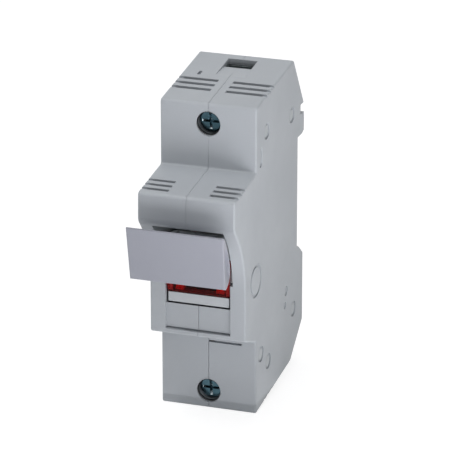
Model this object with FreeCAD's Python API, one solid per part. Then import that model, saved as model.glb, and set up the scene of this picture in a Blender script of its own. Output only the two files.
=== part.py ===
import FreeCAD, Part
import math
import os

# Single-pole fuse holder for a 22 x 58 mm cartridge fuse, for a 35 mm mounting rail.
# Origin: centre of the rail seat, on the plane that touches the rail.
# +Z up, the front of the holder faces -Y, +X to the right. Millimetres.

os.makedirs("parts", exist_ok=True)
V = FreeCAD.Vector

# Housing outline. Depths count forward from the rail seat, but BACK_DEPTH counts back.
WIDTH = 36.0
WALL = 1.8
FRAME_DEPTH = 58.7
TERMINAL_STEP = 11.7
BACK_DEPTH = 7.5
SEAT_HALF = 21.0
END_SLOPE = 7.3
TOP_FRONT_Z = 46.5
TOP_BACK_Y = -4.8
BOTTOM_FRONT_Z = -69.5
BOTTOM_BACK_Y = -6.7
LOWER_BACK_TOP_Z = -25.9
LOWER_BACK_BOTTOM_Z = -52.5
LOWER_STEP_Y = 4.3
LOWER_STEP_DROP = 2.3
UPPER_STEP_Y = 5.2
UPPER_STEP_RISE = 0.8
UPPER_BACK_Y = 7.3
UPPER_BACK_TOP_Z = 33.5
UPPER_LIP_Y = 6.8
NOTCH_Y = 3.2
NOTCH_TOP = 1.0
NOTCH_HEIGHT = 3.7
EDGE_RADIUS = 0.7
BEND_RADIUS = 0.9
CORNER_RADIUS = 1.5
SEAM_HALF = 0.1
SEAM_DEPTH = 0.25

# Raised front: nose, which steps out from the frame, opening for the lever, label pocket
NOSE_ROOT_Z = 22.4
NOSE_STEP = 12.1
NOSE_TOP_STEP = 11.8
NOSE_LIP_STEP = 10.2
LIP_RADIUS = 4.0
FRAME_ARC_RADIUS = 38.4
FRAME_ARC_BOTTOM_Z = -19.5
FRAME_BOTTOM_Z = -37.1
FRAME_THICKNESS = 5.2
RAISED_ROOT_Z = -41.5
OPENING_HALF = 13.2
OPENING_TOP_Z = 7.0
WINDOW_HALF = 12.2
WINDOW_STEP_Z = -16.5
LABEL_TOP_Z = -25.8
LABEL_BOTTOM_Z = -35.5
LABEL_RECESS = 1.0
LABEL_WALL = 1.6
LABEL_GROOVE_HEIGHT = 0.6
LABEL_GROOVE_DEPTH = 0.9
SLIT_Z = -43.2
SLIT_HEIGHT = 0.8
SLIT_LENGTH = 12.5
SLIT_DEPTH = 1.2

# Vents. The first slot of a row lies this far behind the front of its face.
VENT_COUNT = 3
VENT_DEPTH = 3.0
VENT_EDGE_DEPTH = 0.75
END_VENT_START = 2.8
END_VENT_PITCH = 3.95
END_VENT_WIDTH = 1.9
TOP_VENT_SETBACK = 10.9
BOTTOM_VENT_SETBACK = 10.2
NOSE_VENT_START = 7.6
NOSE_VENT_PITCH = 3.4
NOSE_VENT_WIDTH = 1.6
NOSE_VENT_SETBACK = 3.8

# Fuse cartridge
FUSE_RADIUS = 11.1
FUSE_LENGTH = 58.0
FUSE_RELIEF = 0.35
CAP_LENGTH = 16.0
CAP_WALL = 0.5
CAP_END = 1.0
CAP_ROUND = 0.8
TUBE_BORE_RADIUS = 7.5
ELEMENT_WIDTH = 4.0
ELEMENT_THICKNESS = 0.4
ELEMENT_NOTCH_RADIUS = 1.4
ELEMENT_NOTCH_PITCH = 7.25

# Lever pivot, and the closed place of the fuse relative to it
DRUM_RADIUS = 11.2
DRUM_SINK = 0.2
PIVOT_Z = -17.8
FUSE_OFFSET_Y = 12.8
FUSE_OFFSET_Z = 2.0
DRUM_HALF = 11.4
DRUM_BACK_Y = -1.1
FOOT_LOW_Z = -7.35
FOOT_BACK_Y = -6.0
FOOT_CLEARANCE = 0.3
FLANGE_RADIUS = 9.0
FLANGE_HALF = 12.7
FLANGE_LOW_Z = 1.6
CHEEK_RADIUS = 4.6
CHEEK_THICKNESS = 1.5
TRUNNION_RADIUS = 4.0
TRUNNION_CLEARANCE = 0.06
TRUNNION_END_GAP = 0.3
BOSS_RADIUS = 6.2
BOSS_GAP = 1.6
BORE_RUN_IN = 1.0
OPENING_ANGLE = 90.0
CARRIAGE_DRAW = 10.5

# Lever neck, window and indicator, relative to the pivot
NECK_HALF = 9.5
NECK_UNDER_Z = 12.0
NECK_FRONT_Y = -31.0
NECK_FRONT_Z = 16.5
NECK_CROWN_Y = -12.0
NECK_CROWN_Z = 19.6
NECK_BACK_Z = 17.0
NECK_CORNER = 2.0
NECK_FOOT_Y = -7.0
NECK_WALL = 1.6
NECK_HOLLOW_FRONT_Y = -24.0
NECK_HOLLOW_BACK_Y = -9.0
WINDOW_THICKNESS = 1.5
WINDOW_LOW_Z = -3.7
WINDOW_HIGH_Z = 9.2
CHAMBER_HALF = 10.0
CHAMBER_BACK_Y = -5.3
CHAMBER_LEDGE = 0.5
CHAMBER_SILL = 0.2
CHAMBER_HEAD = 1.2
BOARD_THICKNESS = 1.0
BOARD_LOW_Z = -3.2
BOARD_HIGH_Z = 7.0
LED_X = 7.65
LED_WIDTH = 3.0
LED_HEIGHT = 3.4
LED_DEPTH = 2.2

# Grip plate, relative to the pivot. The curve of its back is given from the corners.
GRIP_TOP_Y = -35.4
GRIP_TOP_Z = 28.1
GRIP_BOTTOM_Y = -32.6
GRIP_BOTTOM_Z = 8.3
GRIP_TOP_HALF = 18.0
GRIP_BOTTOM_HALF = 17.6
GRIP_TOE_DEPTH = 0.8
GRIP_TOE_DROP = 0.3
GRIP_HEEL_DEPTH = 4.8
GRIP_HEEL_RISE = 3.0
GRIP_WAIST_DEPTH = 5.2
GRIP_WAIST_RISE = 5.7
GRIP_SHOULDER_DEPTH = 5.4
GRIP_SHOULDER_DROP = 6.8
GRIP_BROW_DEPTH = 1.0
GRIP_BROW_DROP = 0.1
GRIP_EDGE = 0.4
DIMPLE_RADIUS = 24.0
DIMPLE_DEPTH = 0.9
DIMPLE_RIM = 0.7
DIMPLE_DROP = 11.5

# Fuse carriage, relative to the pivot
CARRIAGE_CLEARANCE = 0.2
CARRIAGE_WALL = 1.2
CARRIAGE_LOW_Z = -10.0
CARRIAGE_HIGH_Z = 2.0
RAIL_NECK_HALF = 2.0
RAIL_HEAD_HALF = 4.0
RAIL_NECK_Y = -2.4
RAIL_HEAD_Y = -3.8
RAIL_TOP_Z = 8.0
PLATE_HALF = 8.0
PLATE_BACK_Y = 2.6
SLIDE_CLEARANCE = 0.3
FOLLOWER_RADIUS = 1.5
FOLLOWER_CLEARANCE = 0.3
FOLLOWER_OFFSET_Z = -4.0
FOLLOWER_END_GAP = 0.4
CAM_PAD_GAP = 0.9
CAM_PAD_MARGIN = 2.4

# Jaws, relative to the middle of the fuse
JAW_GAP = 0.05
JAW_THICKNESS = 1.2
JAW_FLARE = 0.85
JAW_FLARE_LENGTH = 2.4
UPPER_JAW_FRONT = -6.5
UPPER_JAW_BACK = 13.1
UPPER_JAW_LOW = 17.3
UPPER_JAW_STRAP = 22.8
UPPER_JAW_HIGH = 27.8
LOWER_JAW_FRONT = -3.5
LOWER_JAW_BACK = 8.5
LOWER_JAW_FLOOR = 1.2
LOWER_JAW_HEIGHT = 14.0
STRIP_HALF = 5.0
STRIP_LAP = 1.0
BEND_DROP = 14.9
BEND_REACH = 3.0
CLIP_THICKNESS = 0.8
CLIP_SETBACK = 4.0
CLIP_INSET = 0.5
LOWER_CLIP_INSET = 2.0
RIB_THICKNESS = 1.6
RIB_OFFSET = 1.5
RIB_RISE = 1.0
SHELF_DROP = 0.3
SHELF_REACH = 3.2

# Terminals, in their own tilted frame: depth from the front, height from the screw axis
UPPER_SCREW_DROP = 7.6
LOWER_SCREW_RISE = 6.8
SCREW_HOLE_RADIUS = 4.5
SCREW_HOLE_LIP = 1.5
SCREW_WELL_RADIUS = 5.3
SCREW_HEAD_RADIUS = 4.3
SCREW_HEAD_DEPTH = 2.7
SCREW_HEAD_HEIGHT = 3.6
SCREW_HEAD_ROUND = 0.6
SCREW_SHANK_RADIUS = 2.9
SCREW_TIP_BEVEL = 0.5
SCREW_SLOT = 1.0
SCREW_SLOT_DEPTH = 1.8
SCREW_SLOT_REACH = 3.1
THREAD_CLEARANCE = 0.05
SHOULDER_CLEARANCE = 0.4
CAGE_REACH = 8.3
CAGE_FRONT_WALL = 4.0
CAGE_REAR_WALL = 2.0
CAGE_SIDE_WALL = 1.4
CAGE_HALF_X = 7.4
CAGE_HALF_HEIGHT = 4.8
CAGE_TRAVEL = 5.0
CAGE_CLEARANCE = 0.3
UPPER_TONGUE_DEPTH = 31.8
LOWER_TONGUE_DEPTH = 28.3
TONGUE_THICKNESS = 1.8
TONGUE_REACH = 4.4
TONGUE_OFFSET = 1.5
WIRE_HALF_X = 5.9
WIRE_DEPTH = 6.2
MOUTH_HALF_X = 5.5
MOUTH_FRONT_LIP = 0.6
MOUTH_BACK_LIP = 0.4
MOUTH_LIP_THICKNESS = 0.45
STRIP_RUN = 8.0
STRIP_GAP = 0.5
STRIP_PASSAGE_FRONT = 2.0
STRIP_PASSAGE_BACK = 1.6
TERMINAL_RIB = 1.5
TERMINAL_OUTER_RIB = 4.0
TROUGH_DEPTH = 1.0
TROUGH_LENGTH = 9.5
GAUGE_MARK_X = -11.6
GAUGE_MARK_Y = -23.0
GAUGE_MARK_HALF_X = 0.6
GAUGE_MARK_HALF_Y = 1.5
GAUGE_MARK_DEPTH = 1.2

# Rail hook and sliding latch
HOOK_HALF = 10.0
HOOK_Y = 1.4
HOOK_THICKNESS = 3.0
HOOK_TIP_Z = 15.2
HOOK_TIP_THICKNESS = 1.2
HOOK_BEVEL = 2.6
HOOK_ROOT = 1.0
LATCH_HALF = 6.0
LATCH_THICKNESS = 2.0
LATCH_TIP_Z = -14.9
LATCH_HEAD_Z = -22.0
LATCH_HEAD_Y = 4.2
LATCH_HEAD_BEVEL = 1.0
LATCH_BOTTOM_Z = -61.0
LATCH_TRAVEL = 4.5
LATCH_CLEARANCE = 0.3
LATCH_HOUSING_WALL = 2.3
LATCH_HOUSING_FRONT = 1.0
LATCH_HOUSING_FOOT = 3.0
LATCH_MOUTH = 5.0
LATCH_WINDOW_HALF = 2.7
LATCH_WINDOW_TOP_Z = -34.0
LATCH_STOP_TOP_Z = -46.0
LATCH_STOP_HEIGHT = 3.0
PULL_SLOT_HALF = 3.0
PULL_SLOT_RISE = 1.5
PULL_SLOT_HEIGHT = 1.5
SPRING_RADIUS = 1.9
SPRING_WIRE = 0.25
SPRING_TURNS = 6
SPRING_END_GAP = 0.05

# Rivets: height above the nearer screw's axis, after depth behind the terminal's front
# for those in front and depth from the rail seat for the two near the rail
UPPER_FRONT_RIVET = (11.3, -4.2)
UPPER_REAR_RIVET = (-7.0, -7.1)
LOWER_FRONT_RIVETS = ((5.7, 14.5), (13.9, 8.6))
LOWER_REAR_RIVET = (-3.9, 18.2)
RIVET_RADIUS = 1.25
RIVET_HEAD_RADIUS = 2.6
RIVET_HEAD_TAPER = 0.7
RIVET_HEAD_HEIGHT = 0.4
RIVET_SINK_RADIUS = 3.0
RIVET_SINK_DEPTH = 0.6
RIVET_BOSS_RADIUS = 2.2

# Shallow moulding marks in the sides: depth, height and radius, and an oblong one
ROUND_MARKS = ((-12.5, -34.3, 1.9), (-13.6, -39.6, 1.4))
OBLONG_MARK_Y = -42.2
OBLONG_MARK_Z = 26.8
OBLONG_MARK_HALF_WIDTH = 1.6
OBLONG_MARK_HALF_HEIGHT = 3.6
PIVOT_RING_WIDTH = 1.2
MARK_DEPTH = 0.45

# Worked out from the values above
BIG = 200.0
OVERCUT = 1.0
HALF = WIDTH / 2.0
INNER = HALF - WALL
SLOPE = math.tan(math.radians(END_SLOPE))
FACE_SHARE = math.cos(math.radians(END_SLOPE))
TERMINAL_DEPTH = FRAME_DEPTH - TERMINAL_STEP
NOSE_DEPTH = FRAME_DEPTH + NOSE_STEP
NOSE_TOP_DEPTH = FRAME_DEPTH + NOSE_TOP_STEP
NOSE_LIP_DEPTH = FRAME_DEPTH + NOSE_LIP_STEP
PIVOT_Y = DRUM_RADIUS + DRUM_SINK - FRAME_DEPTH
FUSE_Y = PIVOT_Y + FUSE_OFFSET_Y
FUSE_Z = PIVOT_Z + FUSE_OFFSET_Z
FOOT_FRONT_Y = LABEL_RECESS - DRUM_RADIUS - DRUM_SINK
FOOT_SWEEP = math.hypot(FOOT_FRONT_Y, FOOT_LOW_Z)
RING_INNER = FUSE_RADIUS + CARRIAGE_CLEARANCE
RING_OUTER = RING_INNER + CARRIAGE_WALL
BOSS_FACE_X = DRUM_HALF + BOSS_GAP
CAM_PAD_X = RING_OUTER + CAM_PAD_GAP
JAW_INNER = FUSE_RADIUS + JAW_GAP
JAW_OUTER = JAW_INNER + JAW_THICKNESS
CLIP_OUTER = JAW_OUTER + CLIP_THICKNESS
UPPER_JAW_FRONT_Y = FUSE_Y + UPPER_JAW_FRONT
UPPER_JAW_BACK_Y = FUSE_Y + UPPER_JAW_BACK
UPPER_JAW_LOW_Z = FUSE_Z + UPPER_JAW_LOW
UPPER_JAW_STRAP_Z = FUSE_Z + UPPER_JAW_STRAP
UPPER_JAW_HIGH_Z = FUSE_Z + UPPER_JAW_HIGH
LOWER_JAW_FRONT_Y = FUSE_Y + LOWER_JAW_FRONT
LOWER_JAW_BACK_Y = FUSE_Y + LOWER_JAW_BACK
LOWER_JAW_BASE_Z = FUSE_Z - FUSE_LENGTH / 2.0 - LOWER_JAW_FLOOR
LOWER_JAW_HIGH_Z = LOWER_JAW_BASE_Z + LOWER_JAW_HEIGHT
UPPER_SCREW_Z = TOP_FRONT_Z - UPPER_SCREW_DROP
LOWER_SCREW_Z = BOTTOM_FRONT_Z + LOWER_SCREW_RISE
# One terminal: its screw's height, the depth of its tongue, the distance from the screw's
# axis to its outer face, and +1 where that face is above the screw
UPPER = (UPPER_SCREW_Z, UPPER_TONGUE_DEPTH, UPPER_SCREW_DROP * FACE_SHARE, 1)
LOWER = (LOWER_SCREW_Z, LOWER_TONGUE_DEPTH, LOWER_SCREW_RISE * FACE_SHARE, -1)
RIVETS = [
    (UPPER_FRONT_RIVET[0] - TERMINAL_DEPTH, UPPER_SCREW_Z + UPPER_FRONT_RIVET[1]),
    (UPPER_REAR_RIVET[0], UPPER_SCREW_Z + UPPER_REAR_RIVET[1]),
    (LOWER_REAR_RIVET[0], LOWER_SCREW_Z + LOWER_REAR_RIVET[1]),
]
RIVETS += [(y - TERMINAL_DEPTH, LOWER_SCREW_Z + z) for y, z in LOWER_FRONT_RIVETS]


def box(x0, x1, y0, y1, z0, z1):
    return Part.makeBox(x1 - x0, y1 - y0, z1 - z0, V(x0, y0, z0))


def cylinder_x(y, z, radius, x0, x1):
    return Part.makeCylinder(radius, x1 - x0, V(x0, y, z), V(1, 0, 0))


def cylinder_y(radius, y0, y1):
    return Part.makeCylinder(radius, y1 - y0, V(0, y0, 0), V(0, 1, 0))


def polygon(corners):
    """A flat face with these corners."""
    return Part.Face(Part.makePolygon(corners + corners[:1]))


def side_prism(points, x0, x1):
    """A polygon drawn in the side view and pushed out along X."""
    return polygon([V(x0, y, z) for y, z in points]).extrude(V(x1 - x0, 0, 0))


def both_sides(shape):
    """The shape and its mirror image about the middle plane."""
    return shape.fuse(shape.mirror(V(0, 0, 0), V(1, 0, 0)))


def side_outline(steps, x):
    """A closed side-view wire. A step is a corner (y, z, radius) or, with four
    values, a curve through (y1, z1) that ends at (y2, z2)."""
    points = []
    for step in steps:
        if len(step) == 4:
            points.append((V(x, step[2], step[3]), 0.0, V(x, step[0], step[1])))
        else:
            points.append((V(x, step[0], step[1]), step[2], None))
    count = len(points)
    edges = []
    start = None
    for index in range(count + 1):
        corner, radius, via = points[index % count]
        if via is not None and start is not None:
            edges.append(Part.Arc(start, via, corner).toShape())
            start = corner
            continue
        middle = None
        tangent_in = corner
        tangent_out = corner
        if radius > 0:
            into = (points[(index - 1) % count][0] - corner).normalize()
            out = (points[(index + 1) % count][0] - corner).normalize()
            half_angle = into.getAngle(out) / 2.0
            bisector = (into + out).normalize()
            middle = corner + bisector * (radius / math.sin(half_angle) - radius)
            tangent_in = corner + into * (radius / math.tan(half_angle))
            tangent_out = corner + out * (radius / math.tan(half_angle))
        if start is not None:
            edges.append(Part.makeLine(start, tangent_in))
        if index < count and middle is not None:
            edges.append(Part.Arc(tangent_in, middle, tangent_out).toShape())
        start = tangent_out
    return Part.Wire(Part.sortEdges(edges)[0])


def terminal_frame(shape, front_z):
    """Puts a shape drawn in the terminal's own frame into place."""
    placed = shape.copy()
    placed.rotate(V(0, 0, 0), V(1, 0, 0), END_SLOPE)
    placed.translate(V(0, -TERMINAL_DEPTH, front_z))
    return placed


def turned_outward(shape, outward):
    """A shape of a terminal drawn with its outer face above, mirrored for the lower one."""
    return shape if outward > 0 else shape.mirror(V(0, 0, 0), V(0, 0, 1))


def from_pivot(shape):
    """Puts a shape drawn about the lever pivot into place."""
    placed = shape.copy()
    placed.translate(V(0, PIVOT_Y, PIVOT_Z))
    return placed


def top_z(y):
    return TOP_FRONT_Z + (y + TERMINAL_DEPTH) * SLOPE


def nose_z(y):
    return NOSE_ROOT_Z + (y + TERMINAL_DEPTH) * SLOPE


def bottom_z(y):
    return BOTTOM_FRONT_Z + (y + TERMINAL_DEPTH) * SLOPE


def frame_arc():
    """Centre and sweep of the concave curve that runs from the nose lip to the frame."""
    centre_y = -FRAME_DEPTH - FRAME_ARC_RADIUS
    return centre_y, math.acos((-NOSE_LIP_DEPTH - centre_y) / FRAME_ARC_RADIUS)


def housing_outline(x):
    centre_y, sweep = frame_arc()
    lip_z = FRAME_ARC_BOTTOM_Z + FRAME_ARC_RADIUS * math.sin(sweep)
    middle_y = centre_y + FRAME_ARC_RADIUS * math.cos(sweep / 2.0)
    middle_z = FRAME_ARC_BOTTOM_Z + FRAME_ARC_RADIUS * math.sin(sweep / 2.0)
    notch_z = UPPER_BACK_TOP_Z - NOTCH_TOP
    steps = (
        (-TERMINAL_DEPTH, BOTTOM_FRONT_Z, BEND_RADIUS),
        (BOTTOM_BACK_Y, bottom_z(BOTTOM_BACK_Y), CORNER_RADIUS),
        (BACK_DEPTH, LOWER_BACK_BOTTOM_Z, CORNER_RADIUS),
        (BACK_DEPTH, LOWER_BACK_TOP_Z, BEND_RADIUS),
        (LOWER_STEP_Y, -SEAT_HALF - LOWER_STEP_DROP, 0.0),
        (0.0, -SEAT_HALF, 0.0),
        (0.0, SEAT_HALF, 0.0),
        (UPPER_STEP_Y, SEAT_HALF, 0.0),
        (UPPER_BACK_Y, SEAT_HALF + UPPER_STEP_RISE, 0.0),
        (UPPER_BACK_Y, notch_z - NOTCH_HEIGHT, 0.0),
        (NOTCH_Y, notch_z - NOTCH_HEIGHT, 0.0),
        (NOTCH_Y, notch_z, 0.0),
        (UPPER_LIP_Y, notch_z, 0.0),
        (UPPER_LIP_Y, UPPER_BACK_TOP_Z, 0.0),
        (TOP_BACK_Y, top_z(TOP_BACK_Y), CORNER_RADIUS),
        (-TERMINAL_DEPTH, TOP_FRONT_Z, CORNER_RADIUS),
        (-TERMINAL_DEPTH, NOSE_ROOT_Z, BEND_RADIUS),
        (-NOSE_TOP_DEPTH, nose_z(-NOSE_TOP_DEPTH), CORNER_RADIUS),
        (-NOSE_DEPTH, lip_z + (NOSE_DEPTH - NOSE_LIP_DEPTH) / math.tan(sweep), LIP_RADIUS),
        (-NOSE_LIP_DEPTH, lip_z, 0.0),
        (middle_y, middle_z, -FRAME_DEPTH, FRAME_ARC_BOTTOM_Z),
        (-FRAME_DEPTH, FRAME_BOTTOM_Z, BEND_RADIUS),
        (-TERMINAL_DEPTH, RAISED_ROOT_Z, BEND_RADIUS),
    )
    return side_outline(steps, x)


def housing_body():
    """The right half's outer body, with rounded edges along its side."""
    body = Part.Face(housing_outline(0.0)).extrude(V(HALF, 0, 0))
    rounded = []
    for edge in body.Edges:
        bounds = edge.BoundBox
        height = bounds.Center.z
        rail_side = bounds.YMax > TOP_BACK_Y and LOWER_BACK_TOP_Z - BEND_RADIUS < height < UPPER_BACK_TOP_Z
        if bounds.XMin > HALF - 1e-6 and not rail_side:
            rounded.append(edge)
    return body.makeFillet(EDGE_RADIUS, rounded)


def inset_body(inset, width):
    """The outline moved inwards, from the middle plane out to this width."""
    outline = Part.Face(housing_outline(0.0))
    return outline.makeOffset2D(-inset, join=2).extrude(V(width, 0, 0))


def seam_groove():
    """Half of the fine groove where the two halves meet, round the whole outline."""
    ring = Part.Face(housing_outline(0.0)).extrude(V(SEAM_HALF, 0, 0))
    ring = ring.cut(inset_body(SEAM_DEPTH, SEAM_HALF))
    pocket = box(0.0, SEAM_HALF, -FRAME_DEPTH, LABEL_RECESS + SEAM_DEPTH - FRAME_DEPTH,
                 LABEL_BOTTOM_Z, LABEL_TOP_Z)
    return [ring, pocket]


def terminal_block(terminal):
    """Solid around one terminal, thicker between its chamber and its outer face."""
    screw_z, tongue_depth, _, outward = terminal
    side = CAGE_HALF_HEIGHT + CAGE_CLEARANCE + TERMINAL_RIB
    chamber_back = tongue_depth + TONGUE_THICKNESS + WIRE_DEPTH + CAGE_REAR_WALL + CAGE_CLEARANCE
    rear = chamber_back + TERMINAL_RIB
    half = CAGE_HALF_X + CAGE_CLEARANCE + TERMINAL_RIB
    block = box(0.0, half, 0.0, rear, -side, side + TERMINAL_OUTER_RIB)
    return terminal_frame(turned_outward(block, outward), screw_z)


def wire_entry(wire_front, face):
    """Ramp, mouth and passage of the wire, drawn with the outer face above."""
    floor = face - TROUGH_DEPTH
    above = face + OVERCUT
    mouth_front = wire_front + MOUTH_FRONT_LIP
    mouth_back = wire_front + WIRE_DEPTH - MOUTH_BACK_LIP
    start = mouth_front - TROUGH_LENGTH
    profile = ((start, face), (mouth_front, floor), (mouth_back, floor),
               (mouth_back, above), (start, above))
    return [
        side_prism(profile, -OVERCUT, MOUTH_HALF_X),
        box(-OVERCUT, MOUTH_HALF_X, mouth_front, mouth_back, 0.0, above),
        box(-OVERCUT, WIRE_HALF_X, wire_front, wire_front + WIRE_DEPTH,
            0.0, floor - MOUTH_LIP_THICKNESS),
    ]


def terminal_hollow(terminal):
    """Screw hole and well, cage chamber, strip passage and wire entry of one terminal."""
    screw_z, tongue_depth, face, outward = terminal
    wire_front = tongue_depth + TONGUE_THICKNESS
    chamber_front = tongue_depth - CAGE_REACH - CAGE_TRAVEL - CAGE_CLEARANCE
    chamber_back = wire_front + WIRE_DEPTH + CAGE_REAR_WALL + CAGE_CLEARANCE
    half_x = CAGE_HALF_X + CAGE_CLEARANCE
    half_z = CAGE_HALF_HEIGHT + CAGE_CLEARANCE
    shoulder = SCREW_HEAD_DEPTH + SCREW_HEAD_HEIGHT + CAGE_CLEARANCE
    chamber = box(-OVERCUT, half_x, chamber_front, chamber_back, -half_z, half_z)
    strip = box(-OVERCUT, STRIP_HALF + STRIP_GAP, tongue_depth - STRIP_PASSAGE_FRONT,
                wire_front + STRIP_PASSAGE_BACK, -half_z - STRIP_RUN, 0.0)
    hollow = chamber.fuse([
        cylinder_y(SCREW_HOLE_RADIUS, -SCREW_HEAD_DEPTH, shoulder),
        cylinder_y(SCREW_WELL_RADIUS, SCREW_HOLE_LIP, shoulder),
        cylinder_y(SCREW_SHANK_RADIUS + SHOULDER_CLEARANCE, 0.0, chamber_front + OVERCUT),
        strip,
    ] + wire_entry(wire_front, face))
    return terminal_frame(turned_outward(hollow, outward), screw_z)


def vent(start_x, width, y, face_z, inward):
    """One slot through the wall, and only a shallow groove where it meets the side."""
    half = width / 2.0
    slot = box(start_x, INNER, -half, half, -VENT_DEPTH, OVERCUT)
    slot = slot.fuse(box(start_x, HALF + OVERCUT, -half, half, -VENT_EDGE_DEPTH, OVERCUT))
    if inward > 0:
        slot = slot.mirror(V(0, 0, 0), V(0, 0, 1))
    slot.rotate(V(0, 0, 0), V(1, 0, 0), END_SLOPE)
    slot.translate(V(0, y, face_z))
    return slot


def vents():
    """Rows of slots in the top face, in the bottom face and in the nose's slope."""
    cuts = []
    for index in range(VENT_COUNT):
        y = TOP_VENT_SETBACK - TERMINAL_DEPTH + index * END_VENT_PITCH
        cuts.append(vent(END_VENT_START, END_VENT_WIDTH, y, top_z(y), -1))
        y = BOTTOM_VENT_SETBACK - TERMINAL_DEPTH + index * END_VENT_PITCH
        cuts.append(vent(END_VENT_START, END_VENT_WIDTH, y, bottom_z(y), 1))
        y = NOSE_VENT_SETBACK - NOSE_DEPTH + index * NOSE_VENT_PITCH
        cuts.append(vent(NOSE_VENT_START, NOSE_VENT_WIDTH, y, nose_z(y), -1))
    return cuts


def follower_path(angle):
    """Centre of the carriage's side pin, about the pivot, with the lever at this angle."""
    turn = math.radians(angle)
    y = FUSE_OFFSET_Y
    z = FOLLOWER_OFFSET_Z - CARRIAGE_DRAW * angle / OPENING_ANGLE
    return V(0, y * math.cos(turn) - z * math.sin(turn), y * math.sin(turn) + z * math.cos(turn))


def cam_band(half_width, x0, x1):
    """A band of this half width along the follower's path, with round ends.
    The path is a circle's arc to within 0.03 mm."""
    stops = [follower_path(OPENING_ANGLE * share) for share in (0.0, 0.5, 1.0)]
    centre = Part.Arc(stops[0], stops[1], stops[2]).toShape().Curve.Center
    inner = []
    outer = []
    for stop in stops:
        across = (stop - centre).normalize() * half_width
        inner.append(stop - across + V(x0, 0, 0))
        outer.append(stop + across + V(x0, 0, 0))
    edges = [
        Part.Arc(inner[0], inner[1], inner[2]).toShape(),
        Part.makeLine(inner[2], outer[2]),
        Part.Arc(outer[2], outer[1], outer[0]).toShape(),
        Part.makeLine(outer[0], inner[0]),
    ]
    band = Part.Face(Part.Wire(edges)).extrude(V(x1 - x0, 0, 0))
    ends = [cylinder_x(stop.y, stop.z, half_width, x0, x1) for stop in (stops[0], stops[2])]
    return from_pivot(band.fuse(ends))


def jaw_ribs():
    """Ribs and shelves that hold the two jaws from outside."""
    rib_y = FUSE_Y + RIB_OFFSET
    clip_back = UPPER_JAW_BACK_Y + CLIP_THICKNESS
    floor = LOWER_JAW_BASE_Z - JAW_THICKNESS - CLIP_THICKNESS
    shelf_top = NOSE_ROOT_Z - SHELF_DROP
    return [
        box(0.0, HALF, -TERMINAL_DEPTH, UPPER_JAW_BACK_Y - SHELF_REACH,
            shelf_top - RIB_THICKNESS, shelf_top),
        box(0.0, HALF, clip_back, clip_back + RIB_THICKNESS, UPPER_JAW_STRAP_Z, NOSE_ROOT_Z),
        box(CLIP_OUTER, HALF, rib_y, rib_y + RIB_THICKNESS, UPPER_JAW_LOW_Z + RIB_RISE, UPPER_JAW_HIGH_Z),
        box(0.0, HALF, LOWER_JAW_FRONT_Y, LOWER_JAW_BACK_Y, floor - RIB_THICKNESS, floor),
        box(CLIP_OUTER, HALF, rib_y, rib_y + RIB_THICKNESS, floor, LOWER_JAW_HIGH_Z - 2.0 * RIB_RISE),
    ]


def housing_ribs():
    """Everything that stands inside the right half, before the hollows are cut."""
    label_back = LABEL_RECESS + LABEL_WALL - FRAME_DEPTH
    ribs = jaw_ribs()
    ribs += [
        terminal_block(UPPER),
        terminal_block(LOWER),
        box(0.0, LATCH_HALF + LATCH_HOUSING_WALL, -WALL - LATCH_HOUSING_FRONT, BACK_DEPTH,
            LATCH_BOTTOM_Z - LATCH_HOUSING_FOOT, -SEAT_HALF),
        box(OPENING_HALF, HALF, -NOSE_DEPTH, FRAME_THICKNESS - FRAME_DEPTH,
            FRAME_BOTTOM_Z, OPENING_TOP_Z),
        box(0.0, HALF, -FRAME_DEPTH, label_back, FRAME_BOTTOM_Z, LABEL_TOP_Z),
        cylinder_x(PIVOT_Y, PIVOT_Z, BOSS_RADIUS, BOSS_FACE_X, HALF),
        cam_band(FOLLOWER_RADIUS + FOLLOWER_CLEARANCE + CAM_PAD_MARGIN, CAM_PAD_X, HALF),
    ]
    for y, z in RIVETS:
        ribs.append(cylinder_x(y, z, RIVET_BOSS_RADIUS, 0.0, HALF))
    return ribs


def latch_channel():
    """The channel of the rail latch, with its spring pocket, around the spring's stop."""
    gap = LATCH_CLEARANCE
    back = HOOK_Y + LATCH_THICKNESS + gap
    top = LATCH_MOUTH - SEAT_HALF
    channel = box(-OVERCUT, LATCH_HALF + gap, HOOK_Y - gap, back, -BIG, top)
    stop = box(-OVERCUT, LATCH_WINDOW_HALF - gap, HOOK_Y - gap, back,
               LATCH_STOP_TOP_Z - LATCH_STOP_HEIGHT, LATCH_STOP_TOP_Z)
    middle = HOOK_Y + LATCH_THICKNESS / 2.0
    reach = SPRING_RADIUS + SPRING_WIRE + gap
    pocket = box(-OVERCUT, reach, middle - reach, middle + reach,
                 LATCH_STOP_TOP_Z, LATCH_WINDOW_TOP_Z + gap)
    head_low = LATCH_HEAD_Z - LATCH_HEAD_BEVEL - LATCH_TRAVEL - gap
    head = box(-OVERCUT, LATCH_HALF + gap, HOOK_Y - gap, LATCH_HEAD_Y + gap, head_low, top)
    return channel.cut(stop).fuse([pocket, head])


def rail_hook():
    """Half of the fixed hook over the rail's upper edge."""
    back = HOOK_Y + HOOK_THICKNESS
    root_z = SEAT_HALF + HOOK_ROOT
    profile = ((HOOK_Y, HOOK_TIP_Z), (HOOK_Y + HOOK_TIP_THICKNESS, HOOK_TIP_Z),
               (back, HOOK_TIP_Z + HOOK_BEVEL), (back, root_z), (HOOK_Y, root_z))
    return side_prism(profile, 0.0, HOOK_HALF)


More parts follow.
